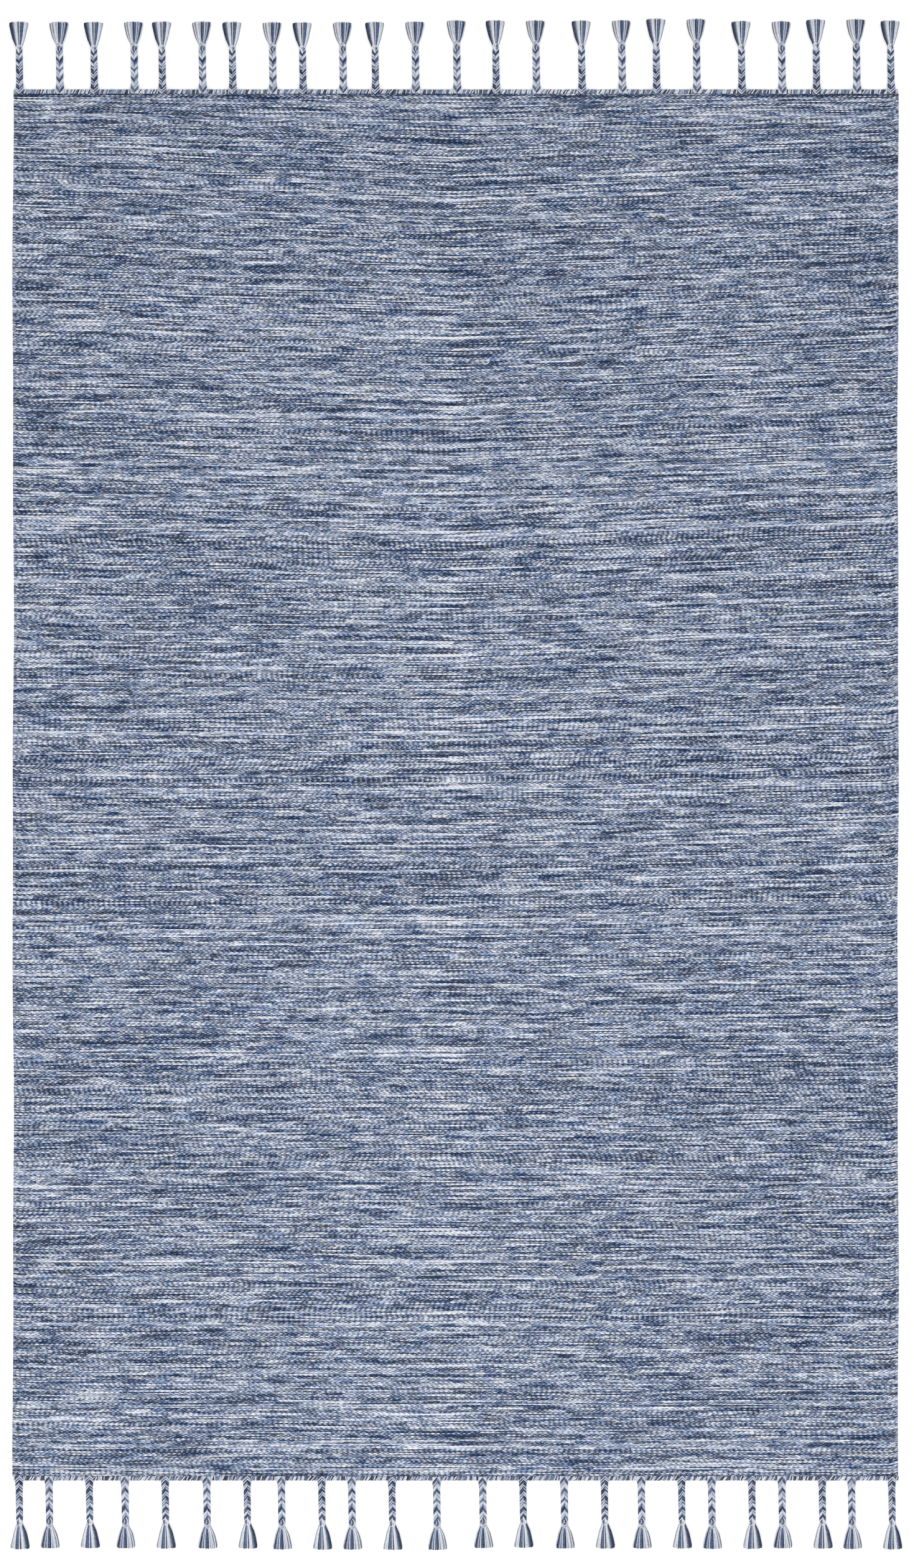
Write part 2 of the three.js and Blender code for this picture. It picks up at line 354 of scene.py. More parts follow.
def weft_faced_cotton():
    """Space-dyed cotton in weft-faced plain weave: the weft hides the warp and shows as short floats."""
    material, tree, shader = start_material(
        "weft-faced space-dyed cotton", {**COTTON, "Roughness": 0.9, "Sheen Weight": 0.15},
    )
    place = add_node(tree, "ShaderNodeTexCoord", {}).outputs["Object"]
    axes = add_node(tree, "ShaderNodeSeparateXYZ", {0: place})
    x, y = axes.outputs[0], axes.outputs[1]
    mirrored = calc(tree, "MULTIPLY", x, -1.0)
    aside = calc(tree, "SMOOTH_MAX", x, mirrored, CREASE["round"] * MM)
    moved = in_weave(tree, place, x, mirrored, y, aside)
    is_odd, away, number = nearest_float(tree, moved)
    float_at = add_node(tree, "ShaderNodeSeparateXYZ", {0: number})
    ends = mapped(tree, chance_of(tree, float_at.outputs[1]), (0.0, 1.0), FLOAT_ENDS)
    steep = add_node(tree, "ShaderNodeCombineXYZ", {0: ends, 1: FLOAT_SIDES})
    from_middle = vector_calc(tree, "LENGTH", vector_calc(tree, "MULTIPLY", away, steep)).outputs["Value"]
    dome = eased(tree, from_middle, DOME, (1.0, 0.0))

    # Where the weaver takes two yarns in turn, every other pick is lighter.
    which = calc(tree, "ADD", is_odd, -0.5)
    in_turn = calc(tree, "ADD", patches(tree, moved, PATCHES["in_turn"], 0.0), -0.5)
    speck = add_node(tree, "ShaderNodeTexWhiteNoise", {"Vector": number}, noise_dimensions="2D")
    parts = {
        "cloud": patches(tree, place, PATCHES["cloud"], 1.0),
        "in_turn": calc(tree, "MULTIPLY_ADD", in_turn, which, 0.5),
        "speck": speck.outputs["Value"],
        "ply": patches(tree, moved, PATCHES["ply"], 1.0),
        # The dome's painted light and shade: the crown lighter and the foot darker.
        "dome": dome,
    }
    tone, turn = dyed_tone(tree, x, float_at)
    for name, part in parts.items():
        tone = counted_in(tree, tone, part, TONE_SHARES[name])
    tone = calc(tree, "MULTIPLY_ADD", tone, CONTRAST, MIDDLE_TONE)
    tone = calc(tree, "SMOOTH_MAX", tone, 0.0, SOFT_END)
    navy_from, navy_to = [FIELD_HALF_LENGTH - inset for inset in metres(NAVY_PICKS["over"])]
    for part in (
        mapped(tree, aside, metres(SIDE_TONES["over"]), SIDE_TONES["tones"]),
        mapped(tree, y, metres(END_TONES["over"]), END_TONES["tones"]),
        mapped(tree, y, (navy_from, navy_to), NAVY_PICKS["tones"]),
    ):
        tone = calc(tree, "ADD", tone, part)
    spread = calc(tree, "MULTIPLY_ADD", tone, TURNS["light"], TURNS["dark"])
    turn = calc(tree, "MULTIPLY_ADD", calc(tree, "ADD", turn, -0.5), spread, TURNS["middle"])
    yarn = dyed_yarn(tree, tone, turn)

    # Painted shade: light reaches the crown of each float and hardly the crevices round it, so these are
    # darker.
    depth = eased(tree, from_middle, SHADED["over"], (0.0, 1.0))
    shade = mapped(tree, tone, SHADED["tones"], SHADED["shares"])
    colour = mixed_colour(tree, calc(tree, "MULTIPLY", depth, shade), yarn, linear(CREVICE_SHADE))
    tree.links.new(colour, shader.inputs["Base Color"])

    # Each float is a low dome of fine fibres.
    height = calc(tree, "MULTIPLY_ADD", patches(tree, moved, PATCHES["fibre"], 2.0), 0.15, dome)
    bump = add_node(tree, "ShaderNodeBump", {"Strength": 0.5, "Distance": 0.6 * MM, "Height": height})
    tree.links.new(bump.outputs[0], shader.inputs["Normal"])
    return material


# The sheet of cloth is a closed thin slab. Its rims are rounded over these widths, in millimetres, with
# lines at these shares of them, and between them it has so many steps across and along. Its top swells
# gently, by up to a height in millimetres and in about so many waves a metre.
RIMS = {"side": 2.4, "end": 0.7}
RIM_STEPS = (0.0, 0.12, 0.4, 1.0)
CLOTH_STEPS = (112, 178)
SWELL = {"height": 0.5, "across": 7, "along": 5}


def cloth_lines(half, steps, width):
    """Distances from the middle, with the close lines of both rims, in metres."""
    inner = half - width * MM
    lines = [-inner + 2 * inner * i / steps for i in range(steps + 1)]
    rim = [inner + width * MM * (1 - share) for share in RIM_STEPS[:-1]]
    return [-r for r in rim] + lines + rim[::-1]


def cloth_point(side, x, y, half_width):
    """A point of the cloth's top or underside. Its long edges stray, and the cloth between goes along."""
    aside = x + stray("right" if x > 0 else "left", y) * x / half_width
    from_side = (half_width - abs(x)) / (RIMS["side"] * MM)
    from_end = (FIELD_HALF_LENGTH - abs(y)) / (RIMS["end"] * MM)
    round_off = math.sqrt(max(0.0, 1 - max(0.0, 1 - min(from_side, from_end)) ** 2))
    half = CLOTH_THICKNESS * MM / 2
    if side == "under":
        return Vector((aside, y, half - half * round_off))
    swell = noise.noise(Vector((x * SWELL["across"], y * SWELL["along"], 0.3))) * SWELL["height"] * MM
    crease = CREASE["height"] * MM * math.exp(-(x / (CREASE["half_width"] * MM)) ** 2)
    return Vector((aside, y, half + (half + swell + crease) * round_off))


def woven_field(material):
    """The sheet of cloth, whose top and underside share the points along the rim."""
    across = cloth_lines(RUG_WIDTH / 2 * MM, CLOTH_STEPS[0], RIMS["side"])
    along = cloth_lines(FIELD_HALF_LENGTH, CLOTH_STEPS[1], RIMS["end"])
    last_row, last_column = len(along) - 1, len(across) - 1
    points, corners = [], {}
    for side in ("top", "under"):
        for row, y in enumerate(along):
            for column, x in enumerate(across):
                on_rim = row in (0, last_row) or column in (0, last_column)
                if side == "under" and on_rim:
                    corners[side, row, column] = corners["top", row, column]
                else:
                    corners[side, row, column] = len(points)
                    points.append(cloth_point(side, x, y, across[-1]) + MIDDLE)
    faces = []
    for row in range(last_row):
        for column in range(last_column):
            square = [(row, column), (row, column + 1), (row + 1, column + 1), (row + 1, column)]
            faces.append([corners["top", i, j] for i, j in square])
            faces.append([corners["under", i, j] for i, j in reversed(square)])
    mesh = bpy.data.meshes.new("woven_field")
    mesh.from_pydata(points, [], faces)
    mesh.materials.append(material)
    mesh.polygons.foreach_set("use_smooth", [True] * len(mesh.polygons))
    cloth = in_scene("woven_field", mesh)
    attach(cloth, "root")
    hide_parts("rug_field")
    return cloth


field = woven_field(weft_faced_cotton())


class Yarn:
    """A yarn along a path of points, with its radius, tone and turn. A closed one is a ring."""

    def __init__(self, points, radius, tones, turn, closed=False):
        self.points = points
        self.radius = radius
        self.tones = tones if isinstance(tones, list) else [tones] * len(points)
        self.turn = turn
        self.closed = closed


def new_tree(name, inputs):
    """An empty Geometry Nodes tree with named inputs, and its input and output nodes."""
    tree = bpy.data.node_groups.new(name, "GeometryNodeTree")
    tree.interface.new_socket("Geometry", in_out="INPUT", socket_type="NodeSocketGeometry")
    for input_name, kind in inputs.items():
        tree.interface.new_socket(input_name, in_out="INPUT", socket_type=kind)
    tree.interface.new_socket("Geometry", in_out="OUTPUT", socket_type="NodeSocketGeometry")
    return tree, tree.nodes.new("NodeGroupInput"), tree.nodes.new("NodeGroupOutput")


def finish_tree(tree, start, end, geometry):
    """Ends a tree as every piece's ends: realised, smooth and with its material."""
    real = add_node(tree, "GeometryNodeRealizeInstances", {0: geometry})
    smooth = add_node(tree, "GeometryNodeSetShadeSmooth", {0: real})
    dressed = add_node(tree, "GeometryNodeSetMaterial", {0: smooth, 2: start.outputs["Material"]})
    tree.links.new(dressed.outputs[0], end.inputs[0])


def base_mesh(name, points, edges, values):
    """A mesh of points and edges for a tree to work on. values gives each attribute's numbers."""
    mesh = bpy.data.meshes.new(name)
    mesh.from_pydata(points, edges, [])
    for key, numbers in values.items():
        mesh.attributes.new(key, "FLOAT", "POINT").data.foreach_set("value", numbers)
    return mesh


def made_by(tree, name, mesh, values):
    """A piece whose plain mesh a tree makes from a base mesh, with the tree's inputs set by name."""
    piece = in_scene(name, mesh)
    maker = piece.modifiers.new("maker", "NODES")
    maker.node_group = tree
    for item in tree.interface.items_tree:
        if item.in_out == "INPUT" and item.name in values:
            maker[item.identifier] = values[item.name]
    graph = bpy.context.evaluated_depsgraph_get()
    made = bpy.data.meshes.new_from_object(
        piece.evaluated_get(graph), preserve_all_data_layers=True, depsgraph=graph,
    )
    piece.modifiers.remove(maker)
    piece.data = made
    made.name = name
    return piece


def stored(tree, geometry, name, value, kind="FLOAT"):
    """The geometry with a value stored on its points."""
    return add_node(tree, "GeometryNodeStoreNamedAttribute", {0: geometry, 2: name, 3: value},
                    data_type=kind, domain="POINT")


def of_point(tree, name):
    """A value that the base mesh carries on its points."""
    return add_node(tree, "GeometryNodeInputNamedAttribute", {0: name}, data_type="FLOAT")


def with_length(tree, path):
    """The path with how far along it each point lies."""
    along = add_node(tree, "GeometryNodeSplineParameter", {}).outputs["Length"]
    return stored(tree, path, "along", along)


def circle(tree, corners):
    """A circle of radius 1."""
    return add_node(tree, "GeometryNodeCurvePrimitiveCircle", {"Resolution": corners, "Radius": 1.0})


def yarn_section(tree, sides):
    """A yarn's round section, with where round the yarn each point lies."""
    place = add_node(tree, "GeometryNodeInputPosition", {})
    return stored(tree, circle(tree, sides), "around", place, "FLOAT_VECTOR")


def yarn_tree():
    """Tubes of yarn along the base mesh's edges, as thick as its radius attribute says."""
    tree, start, end = new_tree("yarn along a path", {
        "Sides": "NodeSocketInt", "Material": "NodeSocketMaterial",
    })
    path = with_length(tree, add_node(tree, "GeometryNodeMeshToCurve", {0: start.outputs[0]}))
    section = yarn_section(tree, start.outputs["Sides"])
    radius = of_point(tree, "radius")
    tube = add_node(tree, "GeometryNodeCurveToMesh", {0: path, 1: section, 2: radius, 3: True})
    finish_tree(tree, start, end, tube)
    return tree


def yarn_piece(tree, name, yarns, sides, material):
    """One piece made of many yarns, each with so many sides."""
    points, edges, values = [], [], {"radius": [], "tone": [], "turn": []}
    for yarn in yarns:
        first = len(points)
        count = len(yarn.points)
        points += yarn.points
        edges += [(first + i, first + i + 1) for i in range(count - 1)]
        if yarn.closed:
            edges.append((first + count - 1, first))
        values["radius"] += [yarn.radius] * count
        values["tone"] += yarn.tones
        values["turn"] += [yarn.turn] * count
    mesh = base_mesh(name, points, edges, values)
    return made_by(tree, name, mesh, {"Sides": sides, "Material": material})


# Plied yarn, in millimetres: the plies turn round it once in this length, and its dye is flecked.
PLY_TWIST = 2.8
FLECK = {"size": 3.5, "share": 0.35}
FIBRE = 0.4


def plied_cotton(name):
    """Soft plied cotton yarn, coloured by each yarn's tone, with painted shade in the grooves as it twists.
    """
    material, tree, shader = start_material(name, {**COTTON, "Roughness": 0.85, "Sheen Weight": 0.2})
    tone, turn, along = [
        add_node(tree, "ShaderNodeAttribute", {}, attribute_name=key).outputs["Fac"]
        for key in ("tone", "turn", "along")
    ]
    around = add_node(tree, "ShaderNodeAttribute", {}, attribute_name="around").outputs["Vector"]
    place = add_node(tree, "ShaderNodeTexCoord", {}).outputs["Object"]

    angle = calc(tree, "MULTIPLY", along, 2 * math.pi / (PLY_TWIST * MM))
    turned = add_node(tree, "ShaderNodeCombineXYZ", {
        0: calc(tree, "SINE", angle), 1: calc(tree, "COSINE", angle),
    })
    ply = vector_calc(tree, "DOT_PRODUCT", around, turned).outputs["Value"]

    fleck = add_node(tree, "ShaderNodeTexNoise", {
        "Vector": place, "Scale": 1 / (FLECK["size"] * MM), "Detail": 2.0,
    })
    yarn = dyed_yarn(tree, counted_in(tree, tone, fleck, FLECK["share"]), turn)
    # Painted shade: the grooves between the plies are darker.
    groove = eased(tree, ply, (-1.0, 0.1), (0.12, 0.0))
    colour = mixed_colour(tree, groove, yarn, linear(CREVICE_SHADE))
    tree.links.new(colour, shader.inputs["Base Color"])
    fibre = add_node(tree, "ShaderNodeTexNoise", {"Vector": place, "Scale": 1 / (FIBRE * MM), "Detail": 1.0})
    height = calc(tree, "MULTIPLY_ADD", fibre, 0.4, ply)
    bump = add_node(tree, "ShaderNodeBump", {"Strength": 0.5, "Distance": 0.3 * MM, "Height": height})
    tree.links.new(bump.outputs[0], shader.inputs["Normal"])
    return material


# A tassel, in millimetres: a plait of four strands, a neck, and a skirt of loose yarn. A strand of the
# plait sways to each side in a somewhat pointed wave, rises and falls as it crosses the others, and passes
# higher on its way to the right than on its way back.
PLAIT = {"sway": 5.25, "pointed": 0.08, "rise": 2.5, "pass": 0.9, "middle": 4.2, "step": 1.9}

# The plait is wider by a share at its root and narrower by a share at the neck.
PLAIT_WIDER = {"share": 0.2, "to": (-2, 16)}
PLAIT_NARROWER = {"share": 0.17, "over": 14}

PLAIT_KINDS = {
    "banded": {"pitch": 6.7, "yarn": 0.92, "skew": 0.18, "turn_over": 38},
    "knotted": {"pitch": 8.9, "yarn": 1.12, "skew": 0.04, "turn_over": 34},
}
PLAIT_STRANDS = 4
STRAND_YARNS = 3

# How far the plait runs on over the binding, how much higher and flatter it lies there, and between which
# places it comes down.
ON_BINDING = {"length": 8.2, "rise": 2.9, "flatter": 0.75, "down": (-1.0, 7.0)}

# Halfway along, the strands' tones turn over within this distance either way. Each yarn's tone swells and
# fades in a slow wave, with so many millimetres to a radian.
TURNS_OVER_IN = 3
SHADE_WAVE = 9

# How far the neck lies from the tips, and how far the tips lie to one side.
SKIRT_LENGTHS = {"banded": 42.6, "knotted": 38.8}
TIP_LEAN = -1.8

# The tones of each strand's yarns, from the one nearer the root to the one nearer the tips, along the
# half of the plait near the root and along the other half, and how blue the strand is.
STRANDS = {
    "banded": [
        ((0.85, 0.12, 0.3), (0.97, 0.9, 0.6), 0.7),
        ((0.97, 0.5, 0.92), (0.06, 0.1, 0.9), 0.6),
        ((0.04, 0.2, 0.1), (0.5, 0.96, 0.7), 0.9),
        ((0.3, 0.9, 0.16), (0.1, 0.3, 0.2), 0.8),
    ],
    "knotted": [
        ((0.3, 0.86, 0.5), (0.97, 0.92, 0.5), 0.5),
        ((0.94, 0.8, 0.4), (0.3, 0.06, 0.2), 0.9),
        ((0.16, 0.5, 0.95), (0.97, 0.9, 0.64), 0.5),
        ((0.95, 0.8, 0.1), (0.8, 0.16, 0.22), 0.9),
    ],
}

# The yarns in front of a skirt, left to right as seen from the root: tone, how blue, and how much the
# yarn's middle bows to the right.
SKIRTS = {
    "banded": [
        (0.02, 0.3, -0.5), (0.06, 0.3, -0.3), (0.26, 0.8, 0.0), (0.52, 0.8, 0.0),
        (0.9, 0.4, 0.0), (0.97, 0.1, 0.1), (0.88, 0.1, 0.0), (0.08, 0.2, -0.1),
        (0.86, 0.5, 0.0), (0.3, 0.9, 0.0), (0.34, 1.0, 0.2), (0.2, 0.8, 0.3),
        (0.96, 0.1, 0.2), (0.92, 0.1, 0.2), (0.86, 0.1, 0.0), (0.5, 0.0, -0.2),
    ],
    "knotted": [
        (0.3, 0.1, -0.8), (0.92, 0.1, -0.6), (0.46, 0.1, -0.2), (0.97, 0.1, -0.2),
        (0.9, 0.1, 0.0), (0.64, 0.5, 0.0), (0.86, 0.4, -0.3), (0.05, 0.3, -0.3),
        (0.26, 0.9, 0.0), (0.32, 1.0, 0.3), (0.88, 0.2, 0.3), (0.3, 0.6, 0.0),
        (0.72, 0.5, 0.2), (0.3, 0.9, 0.0), (0.04, 0.4, 0.0), (0.76, 0.2, 0.2),
    ],
}


def between(value, low, high):
    """0 below low, 1 above high, and smooth between them."""
    share = min(1.0, max(0.0, (value - low) / (high - low)))
    return share * share * (3 - 2 * share)


def along_table(table, at):
    """A value from a table of (place, value) pairs, by straight lines."""
    for (a, low), (b, high) in zip(table, table[1:]):
        if at <= b:
            return low + (high - low) * (at - a) / (b - a)
    return table[-1][1]


def plait_yarns(kind, neck, reach, chance):
    """The strands' yarns. Each strand comes in under the others from one side and goes out over them."""
    yarns = []
    inner = ON_BINDING["length"]
    steps = round((neck + inner) / PLAIT["step"])
    plait = PLAIT_KINDS[kind]
    pace = 2 * math.pi / (plait["pitch"] * PLAIT_STRANDS)
    for strand, (near_tones, far_tones, blue) in enumerate(STRANDS[kind]):
        for j, (near_tone, far_tone) in enumerate(zip(near_tones, far_tones)):
            behind = strand + (j - (STRAND_YARNS - 1) / 2) / STRAND_YARNS
            start, swell = chance.uniform(0, 60), chance.uniform(0.07, 0.13)
            points, shades = [], []
            for step in range(steps + 1):
                s = -inner + (neck + inner) * step / steps
                phase = pace * (s - behind * plait["pitch"])
                on = 1 - between(s, *ON_BINDING["down"])
                middle = TIP_LEAN * max(s, 0) / reach
                wide = 1 + PLAIT_WIDER["share"] - PLAIT_WIDER["share"] * between(s, *PLAIT_WIDER["to"])
                wide -= PLAIT_NARROWER["share"] * between(s, neck - PLAIT_NARROWER["over"], neck)
                across = math.sin(phase) - PLAIT["pointed"] * math.sin(3 * phase)
                x = middle + PLAIT["sway"] * wide * across / (1 + PLAIT["pointed"])
                y = s + plait["skew"] * (x - middle) * (1 - on)
                crossing = PLAIT["rise"] * math.sin(2 * phase) + PLAIT["pass"] * math.cos(phase)
                z = PLAIT["middle"] + ON_BINDING["rise"] * on + crossing * (1 - ON_BINDING["flatter"] * on)
                points.append((x, y, z))
                over = plait["turn_over"]
                turned = between(s, over - TURNS_OVER_IN, over + TURNS_OVER_IN)
                tone = near_tone + (far_tone - near_tone) * turned
                shades.append(tone + swell * math.sin((s + start) / SHADE_WAVE))
            yarns.append(Yarn(points, plait["yarn"], shades, blue))
    return yarns


# The rings of a band, in millimetres: how far past the neck each lies, its half width, its half height,
# its yarn and its tone. Then how high their middles lie, how far they are aslant and how blue they are.
BAND = [(-0.9, 4.7, 3.0, 0.95, 0.97), (0.7, 4.5, 2.9, 0.9, 0.9)]
BAND_MIDDLE = 4.1
BAND_ASLANT = 0.25
BAND_BLUE = 0.3
BAND_POINTS = 14

# The yarns laid over a neck: their points from the neck, and each yarn's radius, tone and turn.
NECK_YARNS = {
    "banded": [
        ([(-3.6, -1.5, 7.0), (-2.6, -5.0, 7.9), (-0.6, -9.0, 7.6), (0.6, -11.5, 6.4)], 1.25, 0.97, 0.3),
        ([(-0.8, -1.5, 7.6), (-0.5, -5.0, 8.2), (0.2, -8.5, 7.5)], 0.95, 0.9, 0.3),
        ([(0.9, -1.5, 7.3), (1.0, -4.5, 7.5), (0.9, -8.0, 7.0)], 0.7, 0.42, 0.3),
        ([(2.5, -1.8, 7.0), (2.8, -4.5, 7.2), (2.4, -7.5, 6.9)], 1.15, 0.05, 0.4),
        ([(3.9, -1.5, 5.8), (3.9, -5.0, 6.2), (2.8, -8.6, 6.7), (1.0, -11.8, 6.4)], 0.7, 0.86, 0.3),
    ],
    "knotted": [
        ([(4.1, -5.4, 7.0), (2.2, -2.6, 8.2), (-1.2, -2.2, 8.6), (-3.7, -5.2, 8.3), (-4.2, -9.0, 7.8),
          (-2.8, -12.4, 7.4), (-0.6, -14.6, 6.6)], 1.0, 0.84, 0.4),
        ([(2.6, -5.6, 7.8), (0.6, -4.2, 8.2), (-1.6, -5.6, 8.2), (-2.3, -8.8, 7.9), (-1.4, -11.6, 7.2)],
         0.8, 0.34, 0.6),
        ([(0.9, -5.2, 8.0), (-0.6, -7.4, 8.1), (-0.5, -10.0, 7.9), (0.4, -12.6, 7.2)], 0.6, 0.06, 0.4),
        ([(2.2, -5.2, 7.8), (0.8, -7.2, 8.2), (0.7, -9.8, 8.1), (1.3, -12.0, 7.4)], 0.8, 0.8, 0.5),
        ([(3.3, -4.6, 7.4), (2.6, -7.4, 7.9), (2.4, -10.2, 7.7), (1.9, -13.0, 6.8)], 0.9, 0.36, 0.9),
        ([(4.0, -5.0, 6.4), (4.0, -8.0, 6.6), (3.6, -11.0, 6.4)], 0.95, 0.42, 0.9),
        ([(-1.6, 3.4, 6.8), (0.6, 0.9, 8.0), (3.2, -0.2, 7.2), (5.6, -1.6, 4.4)], 0.8, 0.86, 0.3),
        ([(-0.4, 0.6, 7.8), (1.6, -1.2, 8.0), (3.8, -2.6, 6.6), (5.0, -4.6, 4.4)], 0.7, 0.74, 0.4),
        ([(1.4, 3.2, 6.8), (-0.6, 0.8, 8.1), (-3.2, -0.8, 7.0), (-4.8, -3.6, 4.8)], 0.75, 0.6, 0.5),
    ],
}


def band_ring(at, reach, half_width, half_height):
    """The points of a ring of yarn round the plait, at a distance from the root."""
    points = []
    for i in range(BAND_POINTS):
        angle = 2 * math.pi * i / BAND_POINTS
        points.append((
            TIP_LEAN * at / reach + half_width * math.cos(angle),
            at + BAND_ASLANT * math.sin(angle),
            BAND_MIDDLE + half_height * math.sin(angle),
        ))
    return points


def neck_yarns(kind, neck, reach):
    """The band, where the tassel has one, and the yarns laid over the neck."""
    yarns = []
    if kind == "banded":
        for past, half_width, half_height, radius, tone in BAND:
            points = band_ring(neck + past, reach, half_width, half_height)
            yarns.append(Yarn(points, radius, tone, BAND_BLUE, closed=True))
    lean = TIP_LEAN * neck / reach
    for points, radius, tone, turn in NECK_YARNS[kind]:
        smooth = rounded([(x + lean, neck + y, z) for x, y, z in points])
        yarns.append(Yarn(smooth, radius, tone, turn))
    return yarns


def rounded(points):
    """A path with two more points on each stretch, on a curve through the given ones."""
    found = []
    for i in range(len(points) - 1):
        a, b = Vector(points[max(i - 1, 0)]), Vector(points[i])
        c, d = Vector(points[i + 1]), Vector(points[min(i + 2, len(points) - 1)])
        for share in (0, 1 / 3, 2 / 3):
            found.append(tuple(
                b + 0.5 * share * ((c - a) + share * ((2 * a - 5 * b + 4 * c - d)
                                                      + share * (3 * (b - c) + d - a)))
            ))
    return found + [points[-1]]


# The skirt's layers, from the front one inwards: how many yarns each has, how high they lie at the neck
# and at the tips, and their radius. Then half the skirt's width at shares of its length.
SKIRT_LAYERS = [
    {"count": 16, "at_neck": 6.3, "at_tip": 3.4, "yarn": 1.08},
    {"count": 11, "at_neck": 4.4, "at_tip": 2.2, "yarn": 1.05},
    {"count": 9, "at_neck": 2.6, "at_tip": 1.1, "yarn": 1.05},
]
SKIRT_HALF_WIDTHS = [(0.0, 4.2), (0.16, 6.7), (0.35, 9.9), (0.7, 13.3), (0.9, 15.3), (1.0, 15.3)]
SKIRT_STEPS = 9

# A skirt's yarns start a little inside the neck and are cut unevenly, those at the sides shorter. A yarn
# waves a little, and one with a bow of 1 bows so far. Each inner layer is narrower by a share, and painted
# darker than the yarns in front of it, its tone a share of theirs: the shade under them.
SKIRT = {
    "start": 1.5, "cut": (-0.9, 0.3), "side_cut": 1.6, "wave": (0.1, 0.35), "bow": 1.6,
    "narrower": 0.04, "shade_under_front": 0.8,
}

# The skirt is round at the neck, where its sides lie lower by a share, and it has come down to the height
# of its tips at this share of its length.
SKIRT_ROUND = 0.35
SKIRT_DOWN = 0.8


def skirt_yarns(kind, neck, reach, chance):
    """The skirt's loose yarns. The front layer's have their own tones; the rest take theirs, in painted
    shade.
    """
    yarns = []
    front = SKIRTS[kind]
    last = len(front) - 1
    for depth, layer in enumerate(SKIRT_LAYERS):
        for i in range(layer["count"]):
            side = (2 * i / (layer["count"] - 1) - 1) * (1 - SKIRT["narrower"] * depth)
            length = reach - neck + chance.uniform(*SKIRT["cut"])
            length -= SKIRT["side_cut"] * side ** 4
            if depth == 0:
                tone, turn, bow = front[i]
            else:
                front_tone, turn, _ = front[min(last, max(0, round((side + 1) / 2 * last)))]
                # Painted shade under the front layer: the inner yarns take a darker share of its tones.
                tone, bow = front_tone * SKIRT["shade_under_front"], 0.0
            wave, phase = chance.uniform(*SKIRT["wave"]), chance.uniform(0, 6.28)
            points = []
            for step in range(SKIRT_STEPS + 1):
                share = step / SKIRT_STEPS
                s = neck - SKIRT["start"] + (length + SKIRT["start"]) * share
                width = along_table(SKIRT_HALF_WIDTHS, share)
                x = TIP_LEAN * s / reach + side * width
                bent = bow * math.sin(math.pi * share) * SKIRT["bow"]
                x += bent + wave * math.sin(5 * share + phase) * share
                crown = 1 - SKIRT_ROUND * side * side * (1 - share)
                fall = (layer["at_tip"] - layer["at_neck"]) * between(share, 0, SKIRT_DOWN)
                points.append((x, s, max((layer["at_neck"] + fall) * crown, layer["yarn"])))
            shade = min(1.0, max(0.0, tone + chance.uniform(-0.03, 0.03)))
            yarns.append(Yarn(points, layer["yarn"], shade, turn))
    return yarns


# A row's tassels are numbered along it. These have a band at the neck, and the others a looped knot.
ROW_NUMBERS = range(1, 25)
BANDED_NUMBERS = (1, 3, 5, 7, 9, 11, 14, 16, 18, 20, 22, 24)
YARN_SIDES = 5

# How a tassel lies in its solid's box, in millimetres: its root is this far in from the edge over the
# binding and this far to one side of the middle, and its tips end this far short of the other edge.
ROOT_TO_BOX = {"edge": 4.7, "aside": {"far": 2.5, "near": 1.5}, "cut": {"far": 0.4, "near": 1.9}}

# Which way along the rug each row points.
WAY = {"far": 1, "near": -1}


def root_across(row, low, high):
    """Where the plait's root lies across the rug, from its solid's box."""
    return (low.x + high.x) / 2 + WAY[row] * ROOT_TO_BOX["aside"][row] * MM


def tassel(tree, row, number, material):
    """A tassel, whose yarns are laid out from its root and then turned the way that its row points."""
    node = f"tassel_{row}_{number:02d}"
    low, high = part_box(node)
    way = WAY[row]
    root_x = root_across(row, low, high)
    root_y = low.y + ROOT_TO_BOX["edge"] * MM if way == 1 else high.y - ROOT_TO_BOX["edge"] * MM
    reach = (high.y - low.y) / MM - ROOT_TO_BOX["edge"] - ROOT_TO_BOX["cut"][row]
    kind = "banded" if number in BANDED_NUMBERS else "knotted"
    chance = random.Random(f"{row} {number}")
    neck = reach - SKIRT_LENGTHS[kind]
    yarns = plait_yarns(kind, neck, reach, chance)
    yarns += neck_yarns(kind, neck, reach)
    yarns += skirt_yarns(kind, neck, reach, chance)
    for yarn in yarns:
        yarn.points = [(root_x + way * x * MM, root_y + way * y * MM, z * MM) for x, y, z in yarn.points]
        yarn.radius *= MM
    piece = yarn_piece(tree, f"yarn_{node}", yarns, YARN_SIDES, material)
    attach(piece, "root")
    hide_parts(node)
    return piece


yarn_maker = yarn_tree()
tassel_cotton = plied_cotton("soft plied cotton, plaited and loose")
tassels = [
    tassel(yarn_maker, row, number, tassel_cotton) for row in ("far", "near") for number in ROW_NUMBERS
]

# The core under the turns of yarn, near-black as the painted shade between them: its section as shares of
# their depth and height, its corners and its tone.
CORE = {"shares": (1.22, 0.9, 1.0), "corners": 8, "tone": 0.02}


